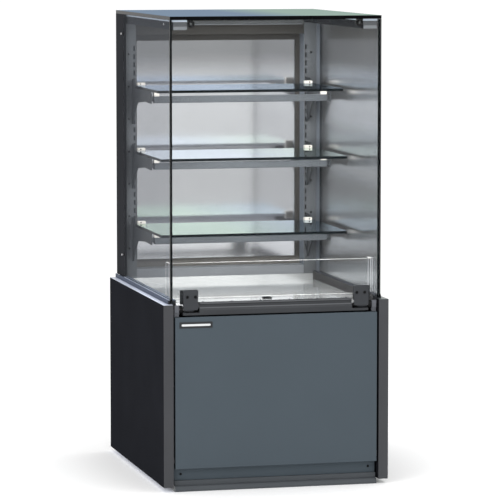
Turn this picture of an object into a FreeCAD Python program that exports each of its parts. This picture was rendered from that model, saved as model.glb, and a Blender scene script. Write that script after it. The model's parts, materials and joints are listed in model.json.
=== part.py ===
import FreeCAD, Part
import math
import os
import re
import Sketcher

# Free-standing glazed display case for bakery counters: a panelled base cabinet with a
# glazed chamber on top.  Millimetres, +Z up, +X to the customer's right, the front looks
# along -Y.  The origin is the centre of the case's outer box, at floor level.
#
# In the formulas below, depth is counted from the front edge of the side panels
# towards the back, and the helpers shift it by half of the overall depth.

DIMENSIONS = {
    # outer box
    "case_width": 675.0, "case_depth": 770.0, "case_height": 1375.0,
    "handle_reach": 26.0,
    # base cabinet
    "panel_thick": 29.0, "panel_bottom": 13.5, "panel_top": 546.0,
    "trim_thick": 2.0, "board_thick": 18.0,
    "front_half": 303.0, "front_bottom": 67.0, "front_top": 509.0,
    "badge_left": 290.5, "badge_width": 98.0, "badge_bottom": 477.5, "badge_height": 18.0,
    "badge_thick": 1.2,
    "kick_front": 24.0, "kick_height": 80.0, "kick_clear": 12.0,
    "ogee_face": 17.0, "ogee_front": 3.5, "ogee_top": 31.0, "ogee_shoulder": 17.5,
    "floor_top": 96.0, "floor_thick": 16.0, "floor_back": 750.0,
    "shelf_level": 300.0, "shelf_thick": 16.0,
    "foot_radius": 22.0, "foot_thick": 10.0, "stem_radius": 5.0, "nut_radius": 9.0,
    "foot_x": 250.0, "foot_front": 110.0, "foot_rear": 660.0,
    # top of the carcass
    "top_board_bottom": 513.5, "deck_bottom": 531.5, "deck_top": 533.0, "deck_half": 296.6,
    "sheet_thick": 1.5, "upstand_top": 549.7, "web_front": 697.5,
    "finger_hole_radius": 14.0, "finger_hole_x": 24.0, "finger_hole_depth": 212.0,
    # front rail
    "rail_top": 550.0, "rail_upper_face": 14.0, "rail_line": 536.0,
    "rail_lower_face": 9.0, "rail_lower_top": 528.0, "rail_bottom": 513.5,
    "rail_back": 33.0, "rail_foot": 45.0, "rail_half": 278.0,
    "notch_half": 229.0, "notch_bottom": 521.0,
    "block_in": 289.2, "block_out": 303.0, "block_front": 11.0, "block_back": 20.0,
    "block_bottom": 509.5, "block_top": 543.0, "block_step": 522.0, "block_recess": 3.0,
    # glazing
    "glass_half": 315.0, "glass_thick": 8.0, "glass_front": 10.0, "glass_bottom": 552.0,
    "side_glass_front": 18.5, "side_glass_back": 656.6, "side_glass_bottom": 551.0,
    "glass_top": 1364.5, "lid_bottom": 1365.0,
    "bottom_rail_out": 320.0, "bottom_rail_top": 558.0, "slot_play": 0.5,
    "top_rail_in": 262.4, "top_rail_out": 303.5, "top_rail_bottom": 1336.0,
    "top_rail_step": 1346.0, "top_rail_top": 1359.0, "top_rail_front": 18.5,
    "riser_half": 306.5, "riser_front": 67.7, "riser_wing": 42.0, "riser_thick": 5.0,
    "riser_top": 660.0,
    "magnet_radius": 11.0, "magnet_x": 251.3, "magnet_level": 1353.5, "magnet_length": 16.0,
    # rear posts
    "post_in": 267.4, "post_wall": 3.0, "post_back": 750.5, "post_cheek": 308.5,
    "slot_x": 273.4, "slot_width": 5.4, "slot_height": 15.5, "slot_pitch": 25.0,
    "slot_first": 1258.7,
    "sill_top": 577.0, "header_bottom": 1300.0,
    "led_bottom": 1331.0, "led_top": 1342.0, "led_front": 683.0,
    # display shelves
    "shelf_half": 285.0, "shelf_back": 638.0, "shelf_glass": 8.0,
    "shelf_top_front": 309.0, "shelf_low_front": 263.0,
    "shelf_hook_drop": 10.4,
    "bracket_x": 278.4, "bracket_thick": 4.0, "bracket_nose": 425.0,
    "lamp_half": 268.5, "lamp_front": 432.0, "lamp_depth": 26.0, "lamp_drop": 24.0, "lamp_height": 20.0,
    "clip_in": 253.0, "clip_width": 24.0,
    # front glass hinges
    "hinge_axis_depth": 17.0, "hinge_axis_level": 531.0,
    "hinge_pin_radius": 4.0, "hinge_play": 0.05, "barrel_radius": 7.0,
    "plate_in": 233.9, "plate_out": 277.8, "plate_front": 6.0, "plate_thick": 4.0,
    "plate_bottom": 529.4, "plate_top": 588.7, "plate_round": 5.0,
    "leaf_in": 246.0, "leaf_out": 276.0, "back_plate_out": 285.0, "back_plate_bottom": 545.0,
    "hinge_screw_in": 242.0, "hinge_screw_out": 266.0, "hinge_screw_level": 567.4,
    "bearing_radius": 12.0, "bearing_in": 279.0, "bearing_out": 287.0, "lug_radius": 6.5,
    # rear doors
    "door_front": 752.0, "door_thick": 18.0, "door_half": 298.0, "opening_half": 253.7,
    "door_bottom": 565.0, "opening_bottom": 601.0, "opening_top": 1280.0, "door_top": 1317.0,
    "insert_thick": 1.5, "insert_lap": 10.0, "insert_depth": 757.0,
    "base_door_bottom": 84.0, "base_door_top": 510.0, "base_door_edge": 305.0,
    "door_axis_x": 302.5, "door_axis_depth": 768.0, "knuckle_radius": 4.0,
    "door_pin_radius": 2.0, "knuckle_length": 20.0, "knuckle_gap": 0.4,
    "handle_width": 12.0, "handle_length": 150.0, "handle_bar": 9.0, "handle_x": 270.0,
    # lighting driver
    "driver_half": 80.0, "driver_depth": 60.0, "driver_height": 34.0, "gland_radius": 9.0,
    # fasteners
    "screw_head": 3.6, "screw_rise": 2.0, "screw_shank": 1.9, "screw_length": 7.0,
}

SHELVES = {"top": 4, "middle": 12, "bottom": 21}    # slot that each shelf hooks into
SLOT_COUNT = 26
RAIL_SCREW_COUNT = 6
RAIL_SCREW_PITCH = 86.0

doc = FreeCAD.newDocument("BakeryDisplayCase")
sheet = doc.addObject("Spreadsheet::Sheet", "Dims")
for row, (alias, value) in enumerate(DIMENSIONS.items(), start=1):
    sheet.set("A%d" % row, alias)
    sheet.set("B%d" % row, str(value))
    sheet.setAlias("B%d" % row, alias)
doc.recompute()

HALF_DEPTH = "(case_depth + handle_reach)/2"
HALF_WIDTH = "case_width/2"
INNER = "(case_width/2 - panel_thick)"
UP = FreeCAD.Vector(0, 0, 1)
FRONT = FreeCAD.Vector(0, -1, 0)
BACK = FreeCAD.Vector(0, 1, 0)
RIGHT = FreeCAD.Vector(1, 0, 0)

parts = []


# ------------------------------------------------------------------ helpers

def bind(obj, prop, formula):
    """Ties a property to a formula over the sheet's aliases."""
    obj.setExpression(prop, re.sub(r"[a-z]\w*", lambda word: "Dims." + word.group(0), formula))


def place(obj, x="0", depth="0", z="0"):
    bind(obj, "Placement.Base.x", x)
    bind(obj, "Placement.Base.y", "(%s) - %s" % (depth, HALF_DEPTH))
    bind(obj, "Placement.Base.z", z)


def node(obj, label):
    """Registers a finished sub-part under the name of its file."""
    obj.Label = label
    parts.append(obj)
    return obj


def box(x, depth, z):
    """A block between two formulas on each axis."""
    obj = doc.addObject("Part::Box", "Box")
    for prop, (low, high) in zip(("Length", "Width", "Height"), (x, depth, z)):
        bind(obj, prop, "(%s) - (%s)" % (high, low))
    place(obj, x[0], depth[0], z[0])
    return obj


def cylinder(radius, length, x, depth, z, direction):
    """A round bar that starts at a point and runs along a direction."""
    obj = doc.addObject("Part::Cylinder", "Cylinder")
    bind(obj, "Radius", radius)
    bind(obj, "Height", length)
    obj.Placement.Rotation = FreeCAD.Rotation(UP, direction)
    place(obj, x, depth, z)
    return obj


def cut(base, *tools):
    for tool in tools:
        result = doc.addObject("Part::Cut", "Cut")
        result.Base = base
        result.Tool = tool
        base = result
    return base


def fuse(*pieces):
    result = doc.addObject("Part::MultiFuse", "Fusion")
    result.Shapes = list(pieces)
    return result


def group(*pieces):
    result = doc.addObject("Part::Compound", "Group")
    result.Links = list(pieces)
    return result


def mirrored(source):
    """The same piece on the other side of the middle plane."""
    result = doc.addObject("Part::Mirroring", "Mirror")
    result.Source = source
    result.Normal = RIGHT
    result.Base = FreeCAD.Vector(0, 0, 0)
    return result


def pair(source, label_right, label_left):
    node(source, label_right)
    node(mirrored(source), label_left)


def sketch_on(body, plane_role, name):
    sketch = body.newObject("Sketcher::SketchObject", name)
    planes = [item for item in body.Origin.OriginFeatures if item.Role == plane_role]
    sketch.AttachmentSupport = [(planes[0], "")]
    sketch.MapMode = "FlatFace"
    return sketch


def outline(sketch, points):
    """A closed polygon whose corners are held by formulas, measured from the sketch's origin."""
    count = len(points)
    first = sketch.GeometryCount
    corners = []
    for step in range(count):
        turn = 2*math.pi*step/count
        corners.append(FreeCAD.Vector(10*math.cos(turn), 10*math.sin(turn), 0))
    for step in range(count):
        sketch.addGeometry(Part.LineSegment(corners[step], corners[(step + 1) % count]))
    for step in range(count):
        here, after = first + step, first + (step + 1) % count
        sketch.addConstraint(Sketcher.Constraint("Coincident", here, 2, after, 1))
    for step, point in enumerate(points):
        for kind, formula in zip(("DistanceX", "DistanceY"), point):
            number = sketch.addConstraint(Sketcher.Constraint(kind, -1, 1, first + step, 1, 1.0))
            bind(sketch, "Constraints[%d]" % number, formula)


def rectangle(low_u, low_v, high_u, high_v):
    return [(low_u, low_v), (high_u, low_v), (high_u, high_v), (low_u, high_v)]


def prism(plane, start, length, points, *holes):
    """A PartDesign body: a section padded along the axis normal to its plane.

    "XY" runs up, "YZ" runs to the right, "XZ" runs to the back.  Start is where it begins.
    """
    body = doc.addObject("PartDesign::Body", "Body")
    sketch = sketch_on(body, plane + "_Plane", "Section")
    for loop in (points,) + holes:
        outline(sketch, loop)
    pad = body.newObject("PartDesign::Pad", "Pad")
    pad.Profile = sketch
    pad.Reversed = plane == "XZ"
    bind(pad, "Length", length)
    offsets = {"XY": ("0", "0", start), "YZ": (start, "0", "0"), "XZ": ("0", start, "0")}
    place(body, *offsets[plane])
    return body


def edges_where(shape, test):
    """Names of the straight edges whose direction and middle pass a test."""
    names = []
    for number, edge in enumerate(shape.Edges, start=1):
        if edge.Curve.TypeId != "Part::GeomLine":
            continue
        middle = edge.valueAt((edge.FirstParameter + edge.LastParameter)/2)
        if test(edge.tangentAt(edge.FirstParameter), middle):
            names.append("Edge%d" % number)
    return names


def rounded(body, radius, test):
    """A PartDesign fillet on the chosen edges of a body's last feature."""
    doc.recompute()
    last = body.Tip
    fillet = body.newObject("PartDesign::Fillet", "Fillet")
    fillet.Base = (last, edges_where(last.Shape, test))
    if radius in DIMENSIONS:
        bind(fillet, "Radius", radius)
    else:
        fillet.Radius = radius
    body.Tip = fillet
    return body


def along(axis):
    """An edge test: parallel to an axis."""
    return lambda direction, middle: abs(direction.dot(axis)) > 0.999


def screw(x, depth, z, direction):
    """A button head that stands out along a direction, and the shank behind it."""
    head = cylinder("screw_head", "screw_rise", x, depth, z, direction)
    shank = cylinder("screw_shank", "screw_length", x, depth, z, -direction)
    return fuse(head, shank)


# ------------------------------------------------------------------ base cabinet

def side_panels():
    """Boards with eased outer edges, and the metal strips on their front edges."""
    section = rectangle(INNER, "trim_thick", HALF_WIDTH, "case_depth")
    panel = prism("XY", "panel_bottom", "panel_top - panel_bottom", section)
    outer = sheet.get("case_width")/2
    rounded(panel, 1.0, lambda way, mid: abs(mid.x - outer) < 0.01)
    pair(panel, "side_panel_right", "side_panel_left")
    strip = prism("XY", "panel_bottom", "panel_top - panel_bottom",
                  rectangle(INNER, "0", HALF_WIDTH, "trim_thick"))
    rounded(strip, 0.8, lambda way, mid: abs(mid.y) < 0.01)
    node(group(strip, mirrored(strip)), "edge_trims")


def front_and_kick():
    """The coloured front, its badge plate, and the recessed kick board with its moulding."""
    front = prism("XZ", "trim_thick", "board_thick",
                  rectangle("-front_half", "front_bottom", "front_half", "front_top"))
    face = sheet.get("trim_thick")
    rounded(front, 1.2, lambda way, mid: abs(mid.y) < face)
    node(front, "front_panel")

    badge = prism("XZ", "trim_thick - badge_thick", "badge_thick",
                  rectangle("-badge_left", "badge_bottom",
                            "badge_width - badge_left", "badge_bottom + badge_height"))
    rounded(badge, 1.5, along(BACK))
    node(badge, "badge_plate")

    node(box(("-front_half", "front_half"),
             ("kick_front", "kick_front + board_thick"),
             ("kick_clear", "kick_height")), "kick_board")

    section = [("kick_front", "0"), ("kick_front", "ogee_top"), ("ogee_face", "ogee_top"),
               ("ogee_face", "ogee_shoulder"), ("ogee_front", "ogee_shoulder"),
               ("ogee_front", "0")]
    ogee = prism("YZ", "-front_half - 0.5", "2*front_half + 1", section)
    face = sheet.get("ogee_front")
    shoulder = sheet.get("ogee_shoulder")
    rounded(ogee, 13.0, lambda way, mid: abs(mid.y - face) < 0.01 and abs(mid.z - shoulder) < 0.01)
    node(ogee, "kick_profile")


def carcass():
    """Floor, storage shelf, rear plinth rail, top board and adjustable feet."""
    node(box(("-" + INNER, INNER), ("floor_back - board_thick", "floor_back"),
             ("kick_clear + 2", "kick_height")), "plinth_rail_rear")
    node(box(("-" + INNER, INNER), ("trim_thick + board_thick", "floor_back"),
             ("floor_top - floor_thick", "floor_top")), "base_floor")
    node(box(("-" + INNER, INNER), ("trim_thick + board_thick + 30", "floor_back - 20"),
             ("shelf_level", "shelf_level + shelf_thick")), "storage_shelf")
    pegs = []
    for side in ("-1", "1"):
        for depth in ("140", "640"):
            direction = RIGHT if side == "-1" else -RIGHT
            pegs.append(cylinder("2.5", "10", "%s*%s" % (side, INNER), depth,
                                 "shelf_level - 2.5", direction))
    node(group(*pegs), "shelf_pegs")
    board = box(("-" + INNER, INNER), ("rail_foot", "post_back"),
                ("top_board_bottom", "deck_bottom"))
    hole = cylinder("finger_hole_radius + 3", "40", "finger_hole_x", "finger_hole_depth",
                    "top_board_bottom - 10", UP)
    node(cut(board, hole), "carcass_top")
    feet = []
    for x in ("-foot_x", "foot_x"):
        for depth in ("foot_front", "foot_rear"):
            pad = cylinder("foot_radius", "foot_thick", x, depth, "0", UP)
            stem = cylinder("stem_radius", "floor_top - floor_thick", x, depth, "0", UP)
            nut = doc.addObject("Part::Prism", "Nut")
            nut.Polygon = 6
            bind(nut, "Circumradius", "nut_radius")
            bind(nut, "Height", "8")
            place(nut, x, depth, "floor_top - floor_thick - 8")
            feet.append(fuse(pad, stem, nut))
    node(group(*feet), "levelling_feet")


def deck():
    """Folded steel tray over the top board: flat deck with an upstand at the back."""
    section = [("rail_back", "deck_bottom"), ("web_front - 0.5", "deck_bottom"),
               ("web_front - 0.5", "upstand_top"),
               ("web_front - 0.5 - sheet_thick", "upstand_top"),
               ("web_front - 0.5 - sheet_thick", "deck_top"), ("rail_back", "deck_top")]
    tray = prism("YZ", "-deck_half", "2*deck_half", section)
    hole = cylinder("finger_hole_radius", "40", "finger_hole_x", "finger_hole_depth",
                    "deck_bottom - 20", UP)
    node(cut(tray, hole), "deck")


def front_rail():
    """Stepped extrusion under the front glass, cut back at both ends for the hinges."""
    section = [("rail_upper_face", "rail_top"), ("rail_upper_face", "rail_line"),
               ("rail_lower_face", "rail_lower_top"), ("rail_lower_face", "rail_bottom"),
               ("rail_foot", "rail_bottom"), ("rail_foot", "deck_bottom"),
               ("rail_back", "deck_bottom"), ("rail_back", "rail_top")]
    rail = prism("YZ", "-rail_half", "2*rail_half", section)
    rounded(rail, 1.0, lambda way, mid: abs(mid.z - sheet.get("rail_top")) < 0.01
            and abs(way.x) > 0.999)
    notches = []
    for low, high in (("-rail_half - 5", "-notch_half"), ("notch_half", "rail_half + 5")):
        notches.append(box((low, high), ("0", "rail_foot + 5"),
                           ("notch_bottom", "rail_top + 5")))
    node(cut(rail, *notches), "front_rail")

    section = [("block_front", "block_step"), ("block_front + block_recess", "block_step"),
               ("block_front + block_recess", "block_bottom"), ("block_back", "block_bottom"),
               ("block_back", "block_top"), ("block_front", "block_top")]
    block = prism("YZ", "block_in", "block_out - block_in", section)
    node(group(block, mirrored(block)), "corner_blocks")


def black_screws():
    """Small dark screws: two in the kick board and a row along the front rail's top."""
    items = [screw("-282.7", "kick_front", "49", FRONT), screw("282.7", "kick_front", "49", FRONT)]
    for step in range(RAIL_SCREW_COUNT):
        x = (step - (RAIL_SCREW_COUNT - 1)/2)*RAIL_SCREW_PITCH
        items.append(screw("%g" % x, "rail_back - 6", "rail_top", UP))
    node(group(*items), "black_screws")


# ------------------------------------------------------------------ glazed chamber

def glazing():
    """Side panes in their bottom rails, and the top pane."""
    inner_face = "(glass_half - glass_thick)"
    pane = box((inner_face, "glass_half"), ("side_glass_front", "side_glass_back"),
               ("side_glass_bottom", "glass_top"))
    pair(pane, "side_glass_right", "side_glass_left")

    slot_in = "glass_half - glass_thick - slot_play"
    section = [("deck_half", "deck_bottom"), (INNER, "deck_bottom"), (INNER, "panel_top"),
               ("bottom_rail_out", "panel_top"), ("bottom_rail_out", "bottom_rail_top"),
               ("glass_half + slot_play", "bottom_rail_top"),
               ("glass_half + slot_play", "side_glass_bottom"),
               (slot_in, "side_glass_bottom"), (slot_in, "bottom_rail_top"),
               ("deck_half", "bottom_rail_top")]
    rail = prism("XZ", "block_back", "case_depth - block_back - 1", section)
    pair(rail, "bottom_rail_right", "bottom_rail_left")

    top = box(("-glass_half", "glass_half"), ("glass_front", "case_depth"),
              ("lid_bottom", "case_height"))
    node(top, "top_glass")


def top_rails():
    """Side rails under the top pane, white glazing tape on them, and the catch magnets."""
    section = [("top_rail_in + 3", "top_rail_bottom"), ("top_rail_out", "top_rail_bottom"),
               ("top_rail_out", "top_rail_top"), ("top_rail_in", "top_rail_top"),
               ("top_rail_in", "top_rail_step")]
    rail = prism("XZ", "top_rail_front", "web_front - top_rail_front", section)
    pair(rail, "top_rail_right", "top_rail_left")
    strip = box(("top_rail_in", "top_rail_out"), ("top_rail_front", "web_front"),
                ("top_rail_top", "lid_bottom"))
    node(group(strip, mirrored(strip)), "glazing_tape")
    cup = cylinder("magnet_radius", "magnet_length", "magnet_x", "top_rail_front",
                   "magnet_level", BACK)
    base = box(("magnet_x - 6", "top_rail_in"),
               ("top_rail_front + 3", "top_rail_front + magnet_length"),
               ("magnet_level - 5", "lid_bottom"))
    magnet = fuse(cup, base)
    node(group(magnet, mirrored(magnet)), "catch_magnets")


def rear_posts():
    """Box posts with a cheek that covers the glass edge and a ladder of shelf slots."""
    inner_face = "glass_half - glass_thick"
    section = [(inner_face, "side_glass_back"), ("glass_half", "side_glass_back"),
               ("glass_half", "case_depth"), ("post_cheek", "case_depth"),
               ("post_cheek", "post_back"), ("post_in", "post_back"),
               ("post_in", "web_front"), (inner_face, "web_front")]
    hollow = rectangle("post_in + post_wall", "web_front + post_wall",
                       inner_face, "post_back - post_wall")
    post = prism("XY", "deck_bottom", "lid_bottom - deck_bottom", section, hollow)

    doc.recompute()
    before = post.Shape.Volume
    slot = sketch_on(post, "XZ_Plane", "Slot")
    outline(slot, rectangle("slot_x - slot_width/2",
                            "slot_first - slot_height/2 - deck_bottom",
                            "slot_x + slot_width/2",
                            "slot_first + slot_height/2 - deck_bottom"))
    feature = post.newObject("PartDesign::Pocket", "SlotPocket")
    feature.Profile = slot
    bind(feature, "Length", "web_front + post_wall + 1")
    doc.recompute()
    ladder = post.newObject("PartDesign::LinearPattern", "SlotLadder")
    ladder.Originals = [feature]
    ladder.Direction = (slot, ["V_Axis"])
    ladder.Reversed = True
    bind(ladder, "Length", "slot_pitch*%d" % (SLOT_COUNT - 1))
    ladder.Occurrences = SLOT_COUNT
    post.Tip = ladder
    doc.recompute()
    opened = before - post.Shape.Volume
    one = sheet.get("slot_width")*sheet.get("slot_height")*sheet.get("post_wall")
    if abs(opened - SLOT_COUNT*one) > 0.01*opened:
        raise RuntimeError("shelf slots are missing: %.1f" % (opened/one))

    foot = box(("deck_half", "glass_half + 1"), ("side_glass_back - 1", "case_depth + 1"),
               ("deck_bottom - 1", "bottom_rail_top"))
    pair(cut(post, foot), "rear_post_right", "rear_post_left")


def rear_frame():
    """Sill and header between the posts, and the lamp under the header."""
    node(box(("-post_in", "post_in"), ("web_front + 1", "post_back"),
             ("deck_bottom", "sill_top")), "rear_sill")
    node(box(("-post_in", "post_in"), ("web_front", "post_back"),
             ("header_bottom", "lid_bottom")), "header_panel")
    lamp = prism("YZ", "-top_rail_in", "2*top_rail_in",
                 [("led_front", "led_bottom + 3"), ("led_front + 3", "led_bottom"),
                  ("web_front", "led_bottom"), ("web_front", "led_top"),
                  ("led_front", "led_top")])
    node(lamp, "header_lamp")


def steel_screws():
    """Bright screws in the posts' cheeks and in the top rails."""
    items = []
    for z in ("1304.8", "623.9"):
        items.append(screw("glass_half", "689.5", z, RIGHT))
        items.append(screw("-glass_half", "689.5", z, -RIGHT))
    items.append(screw("top_rail_out", "140", "1350", RIGHT))
    items.append(screw("-top_rail_out", "140", "1350", -RIGHT))
    node(group(*items), "steel_screws")


def shelf(name, slot_number):
    """One glass shelf with its hooked brackets and the lamp bar between the noses."""
    level = "(slot_first - slot_pitch*%d - shelf_hook_drop)" % slot_number
    front = "shelf_top_front" if name == "top" else "shelf_low_front"
    glass = prism("XY", level + " - shelf_glass", "shelf_glass",
                  rectangle("-shelf_half", front, "shelf_half", "shelf_back"))
    rounded(glass, 2.0, along(UP))
    node(glass, "shelf_glass_" + name)

    def at(depth, drop):
        return (depth, "%s + (%s)" % (level, drop))

    seat = "-shelf_glass - 1"
    arm = [at("bracket_nose", "-17"), at("bracket_nose + 12", seat), at("652", seat),
           at("664", "16"), at("web_front", "16"), at("web_front", "-122"),
           at("684", "-118"), at("664", "-92"), at("640", "-64"), at("622", "-52"),
           at("513", "-43"), at("bracket_nose + 3", "-45")]
    plate = prism("YZ", "bracket_x - bracket_thick/2", "bracket_thick", arm)
    rounded(plate, 8.0, lambda way, mid: 638 < mid.y < 642 or 620 < mid.y < 624)
    hooks = [plate]
    tongue = ("slot_x - 1.5", "slot_x + 1.5")
    for lift in ("shelf_hook_drop", "shelf_hook_drop - 4*slot_pitch"):
        slot = "%s + %s" % (level, lift)
        hooks.append(box(("slot_x - 1.5", "bracket_x"), ("web_front - 3", "web_front"),
                         (slot + " - slot_height/2", slot + " + 2")))
        hooks.append(box(tongue, ("web_front - 1", "web_front + post_wall + 5"),
                         (slot + " - slot_height/2", slot + " + 2")))
        hooks.append(box(tongue, ("web_front + post_wall + 0.5", "web_front + post_wall + 5"),
                         (slot + " - slot_height/2 - 5", slot + " + 2")))
    lamp_top = level + " - lamp_drop"
    hooks.append(box(("lamp_half", "bracket_x"),
                     ("lamp_front + 4", "lamp_front + lamp_depth - 2"),
                     (lamp_top + " - lamp_height + 6", lamp_top + " - 1")))
    bracket = fuse(*hooks)
    node(group(bracket, mirrored(bracket)), "shelf_brackets_" + name)

    lamp = prism("YZ", "-lamp_half", "2*lamp_half",
                 [("lamp_front", lamp_top), ("lamp_front + lamp_depth", lamp_top),
                  ("lamp_front + lamp_depth", lamp_top + " - lamp_height + 6"),
                  ("lamp_front + lamp_depth - 6", lamp_top + " - lamp_height"),
                  ("lamp_front + 2", lamp_top + " - lamp_height"),
                  ("lamp_front", lamp_top + " - lamp_height + 2")])
    node(lamp, "shelf_lamp_" + name)

    # front pad between the lamp and the glass, and the rear stop with a lip over its edge
    pad = box(("clip_in - 1", "lamp_half"), ("lamp_front + 4", "lamp_front + 20"),
              (lamp_top, level + " - shelf_glass"))
    stop = prism("YZ", "clip_in", "bracket_x - bracket_thick/2 - clip_in",
                 [("shelf_back - 7", level + " + 0.2"), ("shelf_back - 7", level + " + 8"),
                  ("shelf_back + 12", level + " + 8"), ("shelf_back + 12", level + " - 16"),
                  ("shelf_back - 7", level + " - 16"),
                  ("shelf_back - 7", level + " - shelf_glass"),
                  ("shelf_back + 0.2", level + " - shelf_glass"),
                  ("shelf_back + 0.2", level + " + 0.2")])
    return [pad, mirrored(pad), stop, mirrored(stop)]


def shelves():
    clips = []
    for name, slot_number in SHELVES.items():
        clips += shelf(name, slot_number)
    node(group(*clips), "shelf_clips")


def riser():
    """Clear guard behind the front glass, bent back along both sides."""
    wing_back = "riser_front + riser_wing"
    inner = "riser_half - riser_thick"
    section = [("-riser_half", "riser_front"), ("riser_half", "riser_front"),
               ("riser_half", wing_back), (inner, wing_back),
               (inner, "riser_front + riser_thick"), ("-(%s)" % inner, "riser_front + riser_thick"),
               ("-(%s)" % inner, wing_back), ("-riser_half", wing_back)]
    guard = prism("XY", "bottom_rail_top", "riser_top - bottom_rail_top", section)
    front = sheet.get("riser_front")
    half = sheet.get("riser_half")
    rounded(guard, 7.0, lambda way, mid: abs(way.z) > 0.999 and abs(mid.y - front) < 0.01
            and abs(abs(mid.x) - half) < 0.01)
    node(guard, "riser_guard")


# ------------------------------------------------------------------ front glass and its hinges

def front_glass():
    pane = box(("-glass_half", "glass_half"), ("glass_front", "glass_front + glass_thick"),
               ("glass_bottom", "glass_top"))
    holes = []
    for x in ("hinge_screw_in", "hinge_screw_out", "-hinge_screw_in", "-hinge_screw_out"):
        holes.append(cylinder("4", "30", x, "0", "hinge_screw_level", BACK))
    node(cut(pane, *holes), "front_glass")


def front_hinges():
    """Clamp plates on the glass, the knuckle under its edge, and the fixed bearings."""
    plate = prism("XZ", "plate_front", "plate_thick",
                  rectangle("plate_in", "plate_bottom", "plate_out", "plate_top"))
    rounded(plate, "plate_round", along(BACK))
    holes = [cylinder("2.6", "20", x, "0", "hinge_screw_level", BACK)
             for x in ("hinge_screw_in", "hinge_screw_out")]
    pair(cut(plate, *holes), "hinge_plate_right", "hinge_plate_left")

    back = "glass_front + glass_thick"
    barrel = cylinder("barrel_radius", "leaf_out - leaf_in", "leaf_in", "hinge_axis_depth",
                      "hinge_axis_level", RIGHT)
    arm = box(("leaf_in", "leaf_out"), ("plate_front + plate_thick + 1", back + " + 4"),
              ("hinge_axis_level + 1", "glass_bottom - 0.5"))
    back_plate = box(("plate_in", "back_plate_out"), (back, back + " + 4"),
                     ("back_plate_bottom", "plate_top - 2"))
    leaf = fuse(barrel, arm, back_plate)
    bore = cylinder("hinge_pin_radius + hinge_play", "80", "leaf_in - 20", "hinge_axis_depth",
                    "hinge_axis_level", RIGHT)
    screw_holes = [cylinder("2.6", "20", x, "10", "hinge_screw_level", BACK)
                   for x in ("hinge_screw_in", "hinge_screw_out")]
    pair(cut(leaf, bore, *screw_holes), "hinge_leaf_right", "hinge_leaf_left")

    bearing = cylinder("bearing_radius", "bearing_out - bearing_in", "bearing_in",
                       "hinge_axis_depth", "hinge_axis_level", RIGHT)
    web = box(("bearing_in", "bearing_out"), ("hinge_axis_depth", "rail_foot + 8"),
              ("notch_bottom", "deck_bottom"))
    foot = box(("plate_in", "bearing_out"), ("rail_foot - 8", "rail_foot"),
               ("notch_bottom", "deck_bottom"))
    lug = cylinder("lug_radius", "leaf_in - 2 - plate_in", "plate_in", "hinge_axis_depth",
                   "hinge_axis_level", RIGHT)
    lug_web = box(("plate_in", "leaf_in - 2"), ("hinge_axis_depth", "rail_foot"),
                  ("hinge_axis_level - lug_radius", "deck_bottom"))
    bracket = cut(fuse(bearing, web, foot, lug, lug_web),
                  box(("bearing_in - 5", "bearing_out + 5"), ("rail_foot", "rail_foot + 20"),
                      ("notch_bottom - 5", "deck_bottom + 5")),
                  cylinder("hinge_pin_radius", "80", "plate_in - 5", "hinge_axis_depth",
                           "hinge_axis_level", RIGHT))
    node(group(bracket, mirrored(bracket)), "hinge_brackets")

    pin = cylinder("hinge_pin_radius", "bearing_out + 1 - plate_in", "plate_in",
                   "hinge_axis_depth", "hinge_axis_level", RIGHT)
    node(group(pin, mirrored(pin)), "hinge_pins")

    screws = []
    for x in ("hinge_screw_in", "hinge_screw_out"):
        head = cylinder("4.4", "2.2", x, "plate_front", "hinge_screw_level", FRONT)
        shank = cylinder("2.5", "15.5", x, "plate_front", "hinge_screw_level", BACK)
        socket = doc.addObject("Part::Prism", "Socket")
        socket.Polygon = 6
        bind(socket, "Circumradius", "1.7")
        bind(socket, "Height", "3")
        socket.Placement.Rotation = FreeCAD.Rotation(UP, FRONT)
        place(socket, x, "plate_front - 0.6", "hinge_screw_level")
        screws.append(cut(fuse(head, shank), socket))
    node(group(*(screws + [mirrored(item) for item in screws])), "hinge_screws")


# ------------------------------------------------------------------ rear doors

def door_handle(middle):
    """Bow handle on the back of a door, bent from flat bar."""
    low = "%s - handle_length/2" % middle
    high = "%s + handle_length/2" % middle
    face = "door_front + door_thick"
    section = [(face, low), ("case_depth + handle_reach", low),
               ("case_depth + handle_reach", high), (face, high),
               (face, high + " - handle_bar"),
               ("case_depth + handle_reach - handle_bar", high + " - handle_bar"),
               ("case_depth + handle_reach - handle_bar", low + " + handle_bar"),
               (face, low + " + handle_bar")]
    handle = prism("YZ", "handle_x - handle_width/2", "handle_width", section)
    reach = sheet.get("case_depth") + sheet.get("handle_reach")
    rounded(handle, 5.0, lambda way, mid: abs(way.x) > 0.999 and mid.y > reach - 0.01)
    return handle


def hinge_sets(levels):
    """Fixed leaves with their pins, and the turning knuckles between them."""
    fixed, turning = [], []
    reach = "2*knuckle_length + 2*knuckle_gap"
    for level in levels:
        start = "(%s - 1.5*knuckle_length - knuckle_gap)" % level
        stack = [cylinder("door_pin_radius", "3*knuckle_length + 2*knuckle_gap",
                          "-door_axis_x", "door_axis_depth", start, UP)]
        for step in ("0", reach):
            foot = start + " + " + step
            stack.append(cylinder("knuckle_radius", "knuckle_length", "-door_axis_x",
                                  "door_axis_depth", foot, UP))
            stack.append(box(("-post_cheek", "-door_axis_x"),
                             ("door_axis_depth - 1.5", "door_axis_depth + 1.5"),
                             (foot, foot + " + knuckle_length")))
        fixed.append(fuse(*stack))
        foot = start + " + knuckle_length + knuckle_gap"
        knuckle = cylinder("knuckle_radius", "knuckle_length", "-door_axis_x",
                           "door_axis_depth", foot, UP)
        wing = box(("-door_axis_x", "-door_half"),
                   ("door_axis_depth - 1.5", "door_axis_depth + 1.5"),
                   (foot, foot + " + knuckle_length"))
        bore = cylinder("door_pin_radius + hinge_play", "100", "-door_axis_x",
                        "door_axis_depth", foot + " - 30", UP)
        turning.append(cut(fuse(knuckle, wing), bore))
    return fixed, turning


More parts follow.
